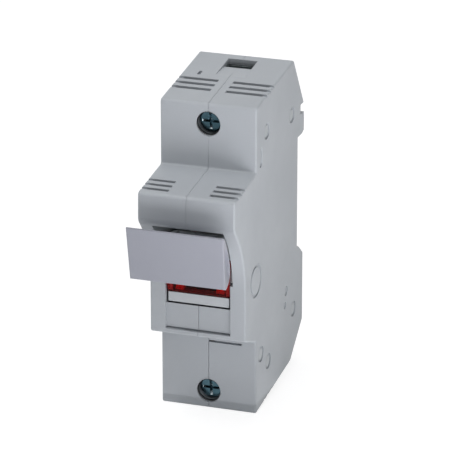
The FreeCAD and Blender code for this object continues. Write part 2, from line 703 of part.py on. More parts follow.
def front_opening():
    """Opening for the lever and its window, relief for the lever's foot, and the label
    pocket below, with a groove along its lower edge."""
    inside = FRAME_THICKNESS - FRAME_DEPTH
    return [
        box(-OVERCUT, OPENING_HALF, -BIG, inside, WINDOW_STEP_Z, OPENING_TOP_Z),
        box(-OVERCUT, WINDOW_HALF, -BIG, inside, LABEL_TOP_Z, WINDOW_STEP_Z + OVERCUT),
        box(-OVERCUT, WINDOW_HALF, -BIG, LABEL_RECESS - FRAME_DEPTH,
            LABEL_BOTTOM_Z, LABEL_TOP_Z + OVERCUT),
        box(-OVERCUT, WINDOW_HALF, -BIG, LABEL_RECESS + LABEL_GROOVE_DEPTH - FRAME_DEPTH,
            LABEL_BOTTOM_Z, LABEL_BOTTOM_Z + LABEL_GROOVE_HEIGHT),
        cylinder_x(PIVOT_Y, PIVOT_Z, FOOT_SWEEP + FOOT_CLEARANCE, -OVERCUT, WINDOW_HALF),
    ]


def pivot_and_cam():
    """Bore for the lever's trunnion and groove for the carriage's side pin."""
    return [
        cylinder_x(PIVOT_Y, PIVOT_Z, TRUNNION_RADIUS + TRUNNION_CLEARANCE,
                   BOSS_FACE_X - BORE_RUN_IN, INNER),
        cam_band(FOLLOWER_RADIUS + FOLLOWER_CLEARANCE, BOSS_FACE_X, INNER),
    ]


def side_marks():
    """Shallow ring, round and oblong marks in the side face."""
    floor = HALF - MARK_DEPTH
    out = HALF + OVERCUT
    ring = cylinder_x(PIVOT_Y, PIVOT_Z, BOSS_RADIUS, floor, out)
    marks = [ring.cut(cylinder_x(PIVOT_Y, PIVOT_Z, BOSS_RADIUS - PIVOT_RING_WIDTH, floor, out))]
    for y, z, radius in ROUND_MARKS:
        marks.append(cylinder_x(y, z, radius, floor, out))
    round_end = OBLONG_MARK_HALF_HEIGHT - OBLONG_MARK_HALF_WIDTH
    oblong = box(floor, out, OBLONG_MARK_Y - OBLONG_MARK_HALF_WIDTH, OBLONG_MARK_Y + OBLONG_MARK_HALF_WIDTH,
                 OBLONG_MARK_Z - round_end, OBLONG_MARK_Z + round_end)
    ends = [cylinder_x(OBLONG_MARK_Y, OBLONG_MARK_Z + end, OBLONG_MARK_HALF_WIDTH, floor, out)
            for end in (-round_end, round_end)]
    marks.append(oblong.fuse(ends))
    return marks


def rivet_holes():
    holes = []
    for y, z in RIVETS:
        holes.append(cylinder_x(y, z, RIVET_RADIUS, -OVERCUT, HALF + OVERCUT))
        holes.append(cylinder_x(y, z, RIVET_SINK_RADIUS, HALF - RIVET_SINK_DEPTH, HALF + OVERCUT))
    return holes


def housing_half(side):
    """One moulded half. side is +1 for the right half and -1 for the left."""
    body = housing_body()
    ribs = housing_ribs()
    solid_ribs = ribs[0].multiFuse(ribs[1:]).common(body)
    half = body.cut(inset_body(WALL, INNER)).fuse(solid_ribs).fuse(rail_hook())
    fuse_low = V(0, FUSE_Y, FUSE_Z - FUSE_LENGTH / 2.0 - FUSE_RELIEF)
    cuts = [
        terminal_hollow(UPPER),
        terminal_hollow(LOWER),
        latch_channel(),
        Part.makeCylinder(FUSE_RADIUS + FUSE_RELIEF, FUSE_LENGTH, fuse_low),
    ]
    cuts += front_opening() + pivot_and_cam() + side_marks() + rivet_holes() + vents() + seam_groove()
    half = half.cut(cuts)
    if side > 0:
        slit = box(0.0, SLIT_LENGTH, -TERMINAL_DEPTH - OVERCUT, -TERMINAL_DEPTH + SLIT_DEPTH,
                   SLIT_Z - SLIT_HEIGHT / 2.0, SLIT_Z + SLIT_HEIGHT / 2.0)
        return half.cut(slit)
    mark = box(-GAUGE_MARK_HALF_X, GAUGE_MARK_HALF_X, -GAUGE_MARK_HALF_Y, GAUGE_MARK_HALF_Y,
               -GAUGE_MARK_DEPTH, OVERCUT)
    mark.rotate(V(0, 0, 0), V(1, 0, 0), END_SLOPE)
    mark.translate(V(GAUGE_MARK_X, GAUGE_MARK_Y, top_z(GAUGE_MARK_Y)))
    return half.mirror(V(0, 0, 0), V(1, 0, 0)).cut(mark)


def rivets():
    """Five rivets that hold the halves together, with a head on each side."""
    solids = []
    face = HALF - RIVET_SINK_DEPTH
    for y, z in RIVETS:
        shank = cylinder_x(y, z, RIVET_RADIUS, -face, face)
        head = Part.makeCone(RIVET_HEAD_RADIUS, RIVET_HEAD_RADIUS - RIVET_HEAD_TAPER, RIVET_HEAD_HEIGHT,
                             V(face, y, z), V(1, 0, 0))
        solids.append(shank.fuse(both_sides(head)))
    return Part.makeCompound(solids)


def jaw_blade(root, mouth):
    """Section of the right-hand blade of a jaw: along X, and along its own reach from
    the root to the mouth, with the flare beyond it."""
    flared = mouth + JAW_FLARE_LENGTH * (1.0 if mouth > root else -1.0)
    return ((JAW_INNER, root), (JAW_INNER, mouth), (JAW_INNER + JAW_FLARE, flared),
            (JAW_OUTER + JAW_FLARE, flared), (JAW_OUTER, mouth), (JAW_OUTER, root))


def bent_strip(points, half_width):
    """A flat strip that follows a line of (y, z) points, bent at each of them."""
    half = TONGUE_THICKNESS / 2.0
    line = [V(0, y, z) for y, z in points]
    last = len(line) - 1
    left = []
    right = []
    for index, here in enumerate(line):
        before = (here - line[index - 1]).normalize() if index > 0 else None
        after = (line[index + 1] - here).normalize() if index < last else before
        before = before or after
        across = V(0, -(before + after).z, (before + after).y).normalize()
        reach = half / across.dot(V(0, -before.z, before.y))
        left.append(here + across * reach)
        right.append(here - across * reach)
    outline = [(p.y, p.z) for p in left] + [(p.y, p.z) for p in reversed(right)]
    return side_prism(outline, -half_width, half_width)


def terminal_point(depth, height, front_z):
    """Depth and height of a point that is given in a terminal's own frame."""
    turn = math.radians(END_SLOPE)
    y = -TERMINAL_DEPTH + depth * math.cos(turn) - height * math.sin(turn)
    return (y, front_z + depth * math.sin(turn) + height * math.cos(turn))


def upper_contact():
    """Upper jaw, open to the front, and the strip that rises from it to the terminal."""
    section = jaw_blade(UPPER_JAW_BACK_Y, UPPER_JAW_FRONT_Y)
    blade = polygon([V(x, y, UPPER_JAW_LOW_Z) for x, y in section])
    blade = blade.extrude(V(0, 0, UPPER_JAW_HIGH_Z - UPPER_JAW_LOW_Z))
    strap = box(-JAW_OUTER, JAW_OUTER, UPPER_JAW_BACK_Y - JAW_THICKNESS, UPPER_JAW_BACK_Y,
                UPPER_JAW_STRAP_Z, UPPER_JAW_HIGH_Z)
    middle = UPPER_JAW_BACK_Y - TONGUE_THICKNESS / 2.0
    depth = UPPER_TONGUE_DEPTH + TONGUE_THICKNESS / 2.0
    strip = bent_strip(((middle, UPPER_JAW_STRAP_Z), (middle, UPPER_SCREW_Z - BEND_DROP),
                        terminal_point(depth, -CAGE_HALF_HEIGHT - BEND_REACH, UPPER_SCREW_Z),
                        terminal_point(depth, TONGUE_REACH, UPPER_SCREW_Z)), STRIP_HALF)
    return both_sides(blade).fuse([strap, strip]).removeSplitter()


def lower_contact():
    """Lower jaw, open at its top, and the strip that drops from it to the terminal."""
    low = LOWER_JAW_BASE_Z - JAW_THICKNESS
    blade = polygon([V(x, LOWER_JAW_FRONT_Y, z) for x, z in jaw_blade(low, LOWER_JAW_HIGH_Z)])
    blade = blade.extrude(V(0, LOWER_JAW_BACK_Y - LOWER_JAW_FRONT_Y, 0))
    base = box(-JAW_OUTER, JAW_OUTER, LOWER_JAW_FRONT_Y, LOWER_JAW_BACK_Y, low, LOWER_JAW_BASE_Z)
    middle = LOWER_JAW_BASE_Z - TONGUE_THICKNESS / 2.0
    depth = LOWER_TONGUE_DEPTH + TONGUE_THICKNESS / 2.0
    turn_y = terminal_point(depth, 0.0, LOWER_SCREW_Z)[0] - TONGUE_OFFSET
    strip = bent_strip(((LOWER_JAW_BACK_Y - STRIP_LAP, middle), (turn_y, middle),
                        terminal_point(depth, -TONGUE_REACH, LOWER_SCREW_Z)), STRIP_HALF)
    return both_sides(blade).fuse([base, strip]).removeSplitter()


def upper_jaw_clip():
    """Spring clip round the back and sides of the upper jaw."""
    outer = box(-CLIP_OUTER, CLIP_OUTER,
                UPPER_JAW_FRONT_Y + CLIP_SETBACK, UPPER_JAW_BACK_Y + CLIP_THICKNESS,
                UPPER_JAW_STRAP_Z + CLIP_INSET, UPPER_JAW_HIGH_Z - CLIP_INSET)
    inner = box(-JAW_OUTER, JAW_OUTER, UPPER_JAW_FRONT_Y, UPPER_JAW_BACK_Y,
                UPPER_JAW_LOW_Z, UPPER_JAW_HIGH_Z)
    return outer.cut(inner)


def lower_jaw_clip():
    """Spring clip round the base and sides of the lower jaw."""
    low = LOWER_JAW_BASE_Z - JAW_THICKNESS
    outer = box(-CLIP_OUTER, CLIP_OUTER,
                LOWER_JAW_FRONT_Y + LOWER_CLIP_INSET, LOWER_JAW_BACK_Y - LOWER_CLIP_INSET,
                low - CLIP_THICKNESS, LOWER_JAW_HIGH_Z - CLIP_SETBACK)
    inner = box(-JAW_OUTER, JAW_OUTER, LOWER_JAW_FRONT_Y, LOWER_JAW_BACK_Y, low, LOWER_JAW_HIGH_Z)
    return outer.cut(inner)


def clamp_cage(screw_z, tongue_depth):
    """Rising clamp cage: a threaded front wall and a window for strip and wire."""
    front = tongue_depth - CAGE_REACH
    rear = tongue_depth + TONGUE_THICKNESS + WIRE_DEPTH
    inner_x = CAGE_HALF_X - CAGE_SIDE_WALL
    high = CAGE_HALF_HEIGHT
    block = box(-CAGE_HALF_X, CAGE_HALF_X, front, rear + CAGE_REAR_WALL, -high, high)
    window = box(-inner_x, inner_x, front + CAGE_FRONT_WALL, rear, -high, high)
    bore = cylinder_y(SCREW_SHANK_RADIUS + THREAD_CLEARANCE, front, front + CAGE_FRONT_WALL)
    return terminal_frame(block.cut([window, bore]), screw_z)


def clamp_screw(screw_z, tongue_depth):
    """Terminal screw with a cross and slot drive, its tip against the strip."""
    head_back = SCREW_HEAD_DEPTH + SCREW_HEAD_HEIGHT
    head = cylinder_y(SCREW_HEAD_RADIUS, SCREW_HEAD_DEPTH, head_back)
    rim = [edge for edge in head.Edges if edge.BoundBox.YMax < SCREW_HEAD_DEPTH + 1e-6]
    head = head.makeFillet(SCREW_HEAD_ROUND, rim)
    tip = tongue_depth - CAGE_CLEARANCE
    shank = cylinder_y(SCREW_SHANK_RADIUS, head_back, tip)
    end = [edge for edge in shank.Edges if edge.BoundBox.YMin > tip - 1e-6]
    shank = shank.makeChamfer(SCREW_TIP_BEVEL, end)
    half = SCREW_SLOT / 2.0
    back = SCREW_HEAD_DEPTH + SCREW_SLOT_DEPTH
    slot = box(-SCREW_SLOT_REACH, SCREW_SLOT_REACH, 0.0, back, -half, half)
    cross = box(-half, half, 0.0, back, -SCREW_SLOT_REACH, SCREW_SLOT_REACH)
    return terminal_frame(head.fuse(shank).cut([slot, cross]), screw_z)


def rail_latch():
    """Sliding rail latch with a bevelled hook, a spring window and a pull slot."""
    back = HOOK_Y + LATCH_THICKNESS
    profile = ((HOOK_Y, LATCH_BOTTOM_Z), (back, LATCH_BOTTOM_Z), (back, LATCH_HEAD_Z - LATCH_HEAD_BEVEL),
               (LATCH_HEAD_Y, LATCH_HEAD_Z), (LATCH_HEAD_Y, LATCH_TIP_Z - HOOK_BEVEL),
               (HOOK_Y + HOOK_TIP_THICKNESS, LATCH_TIP_Z), (HOOK_Y, LATCH_TIP_Z))
    plate = side_prism(profile, -LATCH_HALF, LATCH_HALF)
    window_low = LATCH_STOP_TOP_Z - LATCH_STOP_HEIGHT - LATCH_CLEARANCE
    slot_low = LATCH_BOTTOM_Z + PULL_SLOT_RISE
    window = box(-LATCH_WINDOW_HALF, LATCH_WINDOW_HALF, 0.0, back, window_low, LATCH_WINDOW_TOP_Z)
    slot = box(-PULL_SLOT_HALF, PULL_SLOT_HALF, 0.0, back, slot_low, slot_low + PULL_SLOT_HEIGHT)
    return plate.cut([window, slot])


def latch_spring():
    """Compression spring between the housing's stop and the latch's window."""
    gap = SPRING_WIRE + SPRING_END_GAP
    height = LATCH_WINDOW_TOP_Z - LATCH_STOP_TOP_Z - 2.0 * gap
    helix = Part.makeHelix(height / SPRING_TURNS, height, SPRING_RADIUS)
    section = Part.Wire(Part.makeCircle(SPRING_WIRE, V(SPRING_RADIUS, 0, 0), V(0, 1, 0)))
    coil = Part.Wire(helix.Edges).makePipeShell([section], True, True)
    coil.translate(V(0, HOOK_Y + LATCH_THICKNESS / 2.0, LATCH_STOP_TOP_Z + gap))
    return coil


def drum_sector(inner_radius, low_z, high_z, half):
    """The part of a hollow drum that faces front between two heights."""
    ring = cylinder_x(0, 0, DRUM_RADIUS, -half, half).cut(cylinder_x(0, 0, inner_radius, -half, half))
    return ring.common(box(-half, half, -2.0 * DRUM_RADIUS, 0.0, low_z, high_z))


def grip_outline(x):
    """Side view of the grip plate: a flat front and a hollowed back."""
    steps = (
        (GRIP_TOP_Y, GRIP_TOP_Z, 0.0),
        (GRIP_BOTTOM_Y, GRIP_BOTTOM_Z, 0.0),
        (GRIP_BOTTOM_Y + GRIP_TOE_DEPTH, GRIP_BOTTOM_Z - GRIP_TOE_DROP, 0.0),
        (GRIP_BOTTOM_Y + GRIP_HEEL_DEPTH, GRIP_BOTTOM_Z + GRIP_HEEL_RISE,
         GRIP_BOTTOM_Y + GRIP_WAIST_DEPTH, GRIP_BOTTOM_Z + GRIP_WAIST_RISE),
        (GRIP_TOP_Y + GRIP_SHOULDER_DEPTH, GRIP_TOP_Z - GRIP_SHOULDER_DROP,
         GRIP_TOP_Y + GRIP_BROW_DEPTH, GRIP_TOP_Z - GRIP_BROW_DROP),
    )
    return side_outline(steps, x)


def grip_plate():
    """Grip of the lever, a little narrower at its foot, with a finger hollow in each end."""
    plate = Part.Face(grip_outline(-GRIP_TOP_HALF)).extrude(V(2.0 * GRIP_TOP_HALF, 0, 0))
    foot_z = GRIP_BOTTOM_Z - GRIP_TOE_DROP
    corners = ((-GRIP_TOP_HALF, GRIP_TOP_Z), (GRIP_TOP_HALF, GRIP_TOP_Z),
               (GRIP_BOTTOM_HALF, foot_z), (-GRIP_BOTTOM_HALF, foot_z))
    taper = polygon([V(x, 2.0 * GRIP_TOP_Y, z) for x, z in corners]).extrude(V(0, -2.0 * GRIP_TOP_Y, 0))
    plate = plate.common(taper)
    rim = [edge for edge in plate.Edges if edge.BoundBox.ZLength > GRIP_WAIST_RISE
           and edge.BoundBox.YMax < GRIP_BOTTOM_Y + 1e-6]
    plate = plate.makeFillet(GRIP_EDGE, rim)
    within = Part.Face(grip_outline(0.0)).makeOffset2D(-DIMPLE_RIM, join=2).extrude(V(BIG, 0, 0))
    centre = V(GRIP_BOTTOM_HALF - DIMPLE_DEPTH + DIMPLE_RADIUS, GRIP_TOP_Y + GRIP_HEEL_DEPTH,
               GRIP_TOP_Z - DIMPLE_DROP)
    hollow = Part.makeSphere(DIMPLE_RADIUS, centre).common(within)
    return from_pivot(plate.cut(both_sides(hollow)))


def lever_neck():
    """The arm from the drum to the grip plate, hollowed from above."""
    steps = (
        (DRUM_BACK_Y, 0.0, 0.0),
        (DRUM_BACK_Y, NECK_BACK_Z, NECK_CORNER),
        (NECK_CROWN_Y, NECK_CROWN_Z, NECK_FRONT_Y, NECK_FRONT_Z),
        (NECK_FRONT_Y, NECK_UNDER_Z, 0.0),
        (NECK_FOOT_Y, NECK_UNDER_Z, 0.0),
        (NECK_FOOT_Y, 0.0, 0.0),
    )
    neck = Part.Face(side_outline(steps, -NECK_HALF)).extrude(V(2.0 * NECK_HALF, 0, 0))
    inside = NECK_HALF - NECK_WALL
    hollow = box(-inside, inside, NECK_HOLLOW_FRONT_Y, NECK_HOLLOW_BACK_Y,
                 NECK_UNDER_Z + NECK_WALL, BIG)
    return neck.cut(hollow)


def carriage_slot():
    """T-shaped slot in the lever for the carriage's rail."""
    gap = SLIDE_CLEARANCE
    low = -2.0 * DRUM_RADIUS
    high = RAIL_TOP_Z + gap
    return [
        box(-RAIL_NECK_HALF - gap, RAIL_NECK_HALF + gap, RAIL_NECK_Y, 0.0, low, high),
        box(-RAIL_HEAD_HALF - gap, RAIL_HEAD_HALF + gap, RAIL_HEAD_Y - gap, RAIL_NECK_Y + gap, low, high),
    ]


def lever_flange():
    """Filling piece beside the window, set back so that it passes behind the frame."""
    disc = cylinder_x(0, 0, FLANGE_RADIUS, DRUM_HALF, FLANGE_HALF)
    return disc.common(box(0.0, BIG, -BIG, DRUM_BACK_Y, FLANGE_LOW_Z, BIG))


def lever_foot():
    """Flat strip below the window, flush with the label pocket's floor."""
    return box(-DRUM_HALF, DRUM_HALF, FOOT_FRONT_Y, FOOT_BACK_Y, FOOT_LOW_Z, WINDOW_LOW_Z)


def swing_lever():
    """Hinged lever: drum with its foot, cheeks with trunnions, neck, and slot for the
    carriage."""
    drum = cylinder_x(0, 0, DRUM_RADIUS, -DRUM_HALF, DRUM_HALF)
    drum = drum.cut([box(-BIG, BIG, DRUM_BACK_Y, BIG, -BIG, BIG),
                     box(-BIG, BIG, -BIG, FOOT_FRONT_Y, -BIG, WINDOW_LOW_Z)])
    cheek = cylinder_x(0, 0, CHEEK_RADIUS, DRUM_HALF - CHEEK_THICKNESS, DRUM_HALF)
    trunnion = cylinder_x(0, 0, TRUNNION_RADIUS, DRUM_HALF, INNER - TRUNNION_END_GAP)
    sides = both_sides(cheek.fuse([trunnion, lever_flange()]))
    lever = drum.fuse([sides, lever_neck(), lever_foot()])
    window = drum_sector(DRUM_RADIUS - WINDOW_THICKNESS, WINDOW_LOW_Z, WINDOW_HIGH_Z, DRUM_HALF)
    chamber = box(-CHAMBER_HALF, CHAMBER_HALF, -DRUM_RADIUS, CHAMBER_BACK_Y,
                  WINDOW_LOW_Z + CHAMBER_SILL, WINDOW_HIGH_Z - CHAMBER_HEAD)
    chamber = chamber.common(cylinder_x(0, 0, DRUM_RADIUS - CHAMBER_LEDGE, -DRUM_HALF, DRUM_HALF))
    lever = from_pivot(lever.cut([window, chamber] + carriage_slot()))
    return lever.cut(grip_plate())


def indicator_window():
    """Curved red window set flush into the drum's front."""
    return from_pivot(drum_sector(DRUM_RADIUS - WINDOW_THICKNESS, WINDOW_LOW_Z, WINDOW_HIGH_Z, DRUM_HALF))


def indicator_board():
    """Circuit board of the blown-fuse indicator, on the chamber's back wall."""
    return from_pivot(box(-CHAMBER_HALF, CHAMBER_HALF, CHAMBER_BACK_Y - BOARD_THICKNESS, CHAMBER_BACK_Y,
                          BOARD_LOW_Z, BOARD_HIGH_Z))


def indicator_lights():
    """Two light-emitting blocks on the board, one near each side."""
    back = CHAMBER_BACK_Y - BOARD_THICKNESS
    half = LED_WIDTH / 2.0
    lights = []
    for middle in (-LED_X, LED_X):
        light = box(middle - half, middle + half, back - LED_DEPTH, back,
                    BOARD_LOW_Z, BOARD_LOW_Z + LED_HEIGHT)
        lights.append(from_pivot(light))
    return Part.makeCompound(lights)


def fuse_carriage():
    """Sleeve round the fuse's middle, with a slide rail in front and a pin on each side."""
    length = CARRIAGE_HIGH_Z - CARRIAGE_LOW_Z
    ring = Part.makeCylinder(RING_OUTER, length, V(0, FUSE_OFFSET_Y, CARRIAGE_LOW_Z))
    plate_front = DRUM_BACK_Y + SLIDE_CLEARANCE
    plate = box(-PLATE_HALF, PLATE_HALF, plate_front, PLATE_BACK_Y, CARRIAGE_LOW_Z, RAIL_TOP_Z)
    neck = box(-RAIL_NECK_HALF, RAIL_NECK_HALF, RAIL_NECK_Y, plate_front, CARRIAGE_LOW_Z, RAIL_TOP_Z)
    head = box(-RAIL_HEAD_HALF, RAIL_HEAD_HALF, RAIL_HEAD_Y, RAIL_NECK_Y, CARRIAGE_LOW_Z, RAIL_TOP_Z)
    pin = cylinder_x(FUSE_OFFSET_Y, FOLLOWER_OFFSET_Z, FOLLOWER_RADIUS,
                     RING_INNER, INNER - FOLLOWER_END_GAP)
    carriage = ring.fuse([plate, neck, head, both_sides(pin)])
    bore = Part.makeCylinder(RING_INNER, 2.0 * BIG, V(0, FUSE_OFFSET_Y, -BIG))
    return from_pivot(carriage.cut(bore))


def fuse_tube():
    """Ceramic tube of the cartridge fuse, hollow for its sand and element."""
    length = FUSE_LENGTH - 2.0 * CAP_END
    low = V(0, FUSE_Y, FUSE_Z - length / 2.0)
    tube = Part.makeCylinder(FUSE_RADIUS - CAP_WALL, length, low)
    return tube.cut(Part.makeCylinder(TUBE_BORE_RADIUS, length, low))


def fuse_cap(side):
    """End cap of the fuse. side is +1 for the upper cap and -1 for the lower."""
    end = V(0, FUSE_Y, FUSE_Z + side * FUSE_LENGTH / 2.0)
    inward = V(0, 0, -side)
    cap = Part.makeCylinder(FUSE_RADIUS, CAP_LENGTH, end, inward)
    rim = [edge for edge in cap.Edges if edge.Closed and abs(edge.BoundBox.Center.z - end.z) < 1e-6]
    cap = cap.makeFillet(CAP_ROUND, rim)
    inside = Part.makeCylinder(FUSE_RADIUS - CAP_WALL, CAP_LENGTH, end + inward * CAP_END, inward)
    return cap.cut(inside)


def fuse_element():
    """Notched melting strip between the caps."""
    half = FUSE_LENGTH / 2.0 - CAP_END
    half_width = ELEMENT_WIDTH / 2.0
    half_thickness = ELEMENT_THICKNESS / 2.0
    through = 2.0 * ELEMENT_THICKNESS
    strip = box(-half_width, half_width, FUSE_Y - half_thickness, FUSE_Y + half_thickness,
                FUSE_Z - half, FUSE_Z + half)
    notches = []
    for index in range(-2, 3):
        for x in (-half_width, half_width):
            start = V(x, FUSE_Y - ELEMENT_THICKNESS, FUSE_Z + index * ELEMENT_NOTCH_PITCH)
            notches.append(Part.makeCylinder(ELEMENT_NOTCH_RADIUS, through, start, V(0, 1, 0)))
    return strip.cut(notches)


NODES = (
    ("housing_left", housing_half(-1)),
    ("housing_right", housing_half(1)),
    ("housing_rivets", rivets()),
    ("upper_contact", upper_contact()),
    ("upper_jaw_clip", upper_jaw_clip()),
    ("lower_contact", lower_contact()),
    ("lower_jaw_clip", lower_jaw_clip()),
    ("upper_clamp_cage", clamp_cage(UPPER_SCREW_Z, UPPER_TONGUE_DEPTH)),
    ("lower_clamp_cage", clamp_cage(LOWER_SCREW_Z, LOWER_TONGUE_DEPTH)),
    ("upper_clamp_screw", clamp_screw(UPPER_SCREW_Z, UPPER_TONGUE_DEPTH)),
    ("lower_clamp_screw", clamp_screw(LOWER_SCREW_Z, LOWER_TONGUE_DEPTH)),
    ("rail_latch", rail_latch()),
    ("rail_latch_spring", latch_spring()),
    ("swing_lever", swing_lever()),
    ("grip_plate", grip_plate()),
    ("indicator_window", indicator_window()),
    ("indicator_board", indicator_board()),
    ("indicator_lights", indicator_lights()),
    ("fuse_carriage", fuse_carriage()),
    ("fuse_tube", fuse_tube()),
    ("fuse_cap_upper", fuse_cap(1)),
    ("fuse_cap_lower", fuse_cap(-1)),
    ("fuse_element", fuse_element()),
)

for name, shape in NODES:
    shape.exportStep("parts/" + name + ".step")
    print(name, shape.isValid(), len(shape.Solids), round(shape.Volume, 1))
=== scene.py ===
import math

import bmesh
import bpy
from mathutils import Matrix, Vector


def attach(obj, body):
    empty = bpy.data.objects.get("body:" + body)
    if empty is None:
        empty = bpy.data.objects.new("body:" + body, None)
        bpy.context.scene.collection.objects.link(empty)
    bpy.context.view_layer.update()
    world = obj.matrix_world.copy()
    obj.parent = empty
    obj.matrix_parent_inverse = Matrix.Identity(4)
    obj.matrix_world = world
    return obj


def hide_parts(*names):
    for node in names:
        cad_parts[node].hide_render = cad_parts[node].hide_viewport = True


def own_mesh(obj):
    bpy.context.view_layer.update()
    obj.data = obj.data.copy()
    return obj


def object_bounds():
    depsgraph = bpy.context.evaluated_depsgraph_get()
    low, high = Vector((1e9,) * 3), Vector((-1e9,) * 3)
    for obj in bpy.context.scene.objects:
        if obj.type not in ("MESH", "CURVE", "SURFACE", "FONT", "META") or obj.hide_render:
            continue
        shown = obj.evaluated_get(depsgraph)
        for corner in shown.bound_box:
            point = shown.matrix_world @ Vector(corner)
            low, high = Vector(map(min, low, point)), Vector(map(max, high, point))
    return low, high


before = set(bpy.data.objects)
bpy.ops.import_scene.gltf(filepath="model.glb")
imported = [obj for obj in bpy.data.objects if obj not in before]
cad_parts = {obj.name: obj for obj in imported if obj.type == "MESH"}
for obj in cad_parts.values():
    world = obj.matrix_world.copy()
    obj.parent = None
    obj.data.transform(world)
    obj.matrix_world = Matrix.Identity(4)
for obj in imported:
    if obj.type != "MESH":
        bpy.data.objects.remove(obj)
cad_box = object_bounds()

# Camera, from the photograph's perspective
CAMERA_AIM = (0.002079, -0.035, -0.00276)
CAMERA_AZIMUTH = 19.066
CAMERA_ELEVATION = 20.026
CAMERA_DISTANCE = 1.2009
CAMERA_LENS = 267.7

# Light levels: 1 is a white surface that renders white
SKY_COLOUR = (0.94, 0.96, 1.0, 1.0)
SKY_LEVEL = 0.18
WHITE = (1.0, 1.0, 1.0, 1.0)
# Floor: half its side, its own glow and colour where it is seen, and its colour for the
# light that it throws back on the object
FLOOR_HALF = 4.0
FLOOR_GLOW = 0.82
FLOOR_SHOWN = (0.36, 0.36, 0.36, 1.0)
FLOOR_BOUNCE = (0.92, 0.92, 0.92, 1.0)
# Lamps: place, size, brightness of their face, colour, and whether gloss shows them.
# The flat ones lie just above the floor and face up, the others face the object.
LAMP_AIM = (0.0, -0.035, 0.0)
FLAT_LAMP_Z = -0.066
LAMPS = {
    "top_lamp": ((-0.12, -0.14, 0.89), 0.6, 3.5, (1.0, 1.0, 1.0), True),
    "front_lamp": ((0.2, -0.6, 0.5), 0.4, 1.65, (0.98, 0.98, 1.0), True),
    "right_lamp": ((0.65, -0.3, 0.1), 0.4, 1.2, (1.0, 1.0, 0.96), True),
    "back_lamp": ((-0.1, 0.8, 0.1), 0.5, 2.2, (0.98, 0.99, 1.0), False),
    "left_lamp": ((-0.78, 0.05, 0.1), 0.5, 1.6, (0.98, 0.99, 1.0), False),
    "low_lamp": ((0.16, -0.25, FLAT_LAMP_Z), 0.2, 5.6, (0.98, 0.97, 1.0), True),
    "floor_lamp": ((0.38, -0.42, FLAT_LAMP_Z), 0.8, 0.27, (0.98, 0.97, 1.0), True),
}

# Materials: the range that most values of a noise fall in, the range and the colour of the
# specks in plastic, and how far the rounded normal agrees with the flat one, from on an
# edge to off it
NOISE_RANGE = (0.3, 0.7)
SPECK_RANGE = (0.35, 0.65)
SPECK_COLOUR = (0.2, 0.2, 0.2, 1.0)
EDGE_RANGE = (0.8, 0.995)

# The pieces made here are in millimetres, everything above is in metres
MM = 0.001
# Corners of a piece that are nearer than this are one
MERGE_DISTANCE = 0.0001
# Terminal screws: tilt of their axes, front of the terminals, heights of the axes there
SCREW_TILT = 7.3
TERMINAL_Y = -47.0
SCREWS = {"upper": 38.9, "lower": -62.7}
# Dark bush that paints the shade in a screw's hole, as (radius past the hole's, depth)
HOLE_RADIUS = 4.5
SHADE_BUSH = ((-0.01, 0.3), (-0.1, 0.4), (-0.1, 1.6), (-0.01, 1.6))
# Recess in a screw's head: half the wings' width, their section as (distance from the
# axis, depth in the head), and the point in the middle as (radius, depth in the head)
HEAD_DEPTH = 2.7
WING_HALF = 0.5
WING = ((3.1, 0.05), (2.1, 1.2), (2.1, 1.75), (3.1, 1.75))
POINT = ((0.0, 1.3), (0.62, 1.76), (0.0, 1.76))
# Fuse: its axis, its radius on tube and caps, and for each cap its end, its inner edge
# and the way it faces
FUSE_Y = -34.5
TUBE_RADIUS = 10.6
CAP_RADIUS = 11.1
CAPS = {"upper": (13.2, -2.8, 1), "lower": (-44.8, -28.8, -1)}
# Ink band, as (radius past the tube's, height). Crimp, as (radius past the cap's, height
# from its own middle), and how far that is from the cap's inner edge. Ring and seal of the
# cap's end, as (radius, height from the end).
INK_BAND = ((0.005, -8.6), (0.05, -8.5), (0.05, -6.0), (0.005, -5.9))
CRIMP = ((-0.02, -0.7), (0.08, -0.35), (0.12, 0.0), (0.08, 0.35), (-0.02, 0.7))
CRIMP_INSET = 1.3
CAP_RING = ((7.4, -0.02), (7.7, 0.08), (8.1, 0.11), (8.5, 0.08), (8.8, -0.02))
CAP_SEAL = ((0.0, -0.02), (2.4, -0.02), (2.15, 0.1), (1.5, 0.18), (0.0, 0.21))
# Indicator board: its front face, and the lights' front and middles
BOARD_Y = -53.6
LIGHT_FRONT_Y = -55.8
LIGHT_X = 7.65
LIGHT_Z = -19.3
# Lens on a light, as (radius, height from the light's front)
LENS = ((0.0, -0.02), (1.3, -0.02), (1.3, 0.15), (1.15, 0.5), (0.8, 0.75), (0.0, 0.88))
# Chip resistors, two rows of two, with a metal end on each side
CHIP_X = 3.4
CHIP_ROWS = (-13.4, -16.4)
CHIP_HALF_X = 1.1
CHIP_HALF_Z = 0.8
CHIP_HEIGHT = 0.6
CHIP_END_HALF = 0.25
CHIP_END_HEIGHT = 0.62
# Diode under them, and solder pads of the diode and the lights, as (x, low z, high z)
DIODE_HALF_X = 1.4
DIODE_Z = (-19.6, -18.0)
DIODE_HEIGHT = 1.1
PADS = ((-1.9, -19.3, -18.3), (1.9, -19.3, -18.3), (-LIGHT_X, -17.5, -16.6),
        (LIGHT_X, -17.5, -16.6))
PAD_HALF_X = 0.5
PAD_HEIGHT = 0.25
# Latch spring: its axis, ends, coil and wire radii, turns, pitch of the closed end turns,
# steps in a turn and sides of the wire
SPRING_Y = 2.4
SPRING_LOW_Z = -45.95
SPRING_HIGH_Z = -34.05
SPRING_RADIUS = 1.9
WIRE_RADIUS = 0.25
SPRING_TURNS = 7
SPRING_END_PITCH = 0.85
SPRING_STEPS = 28
WIRE_SIDES = 8
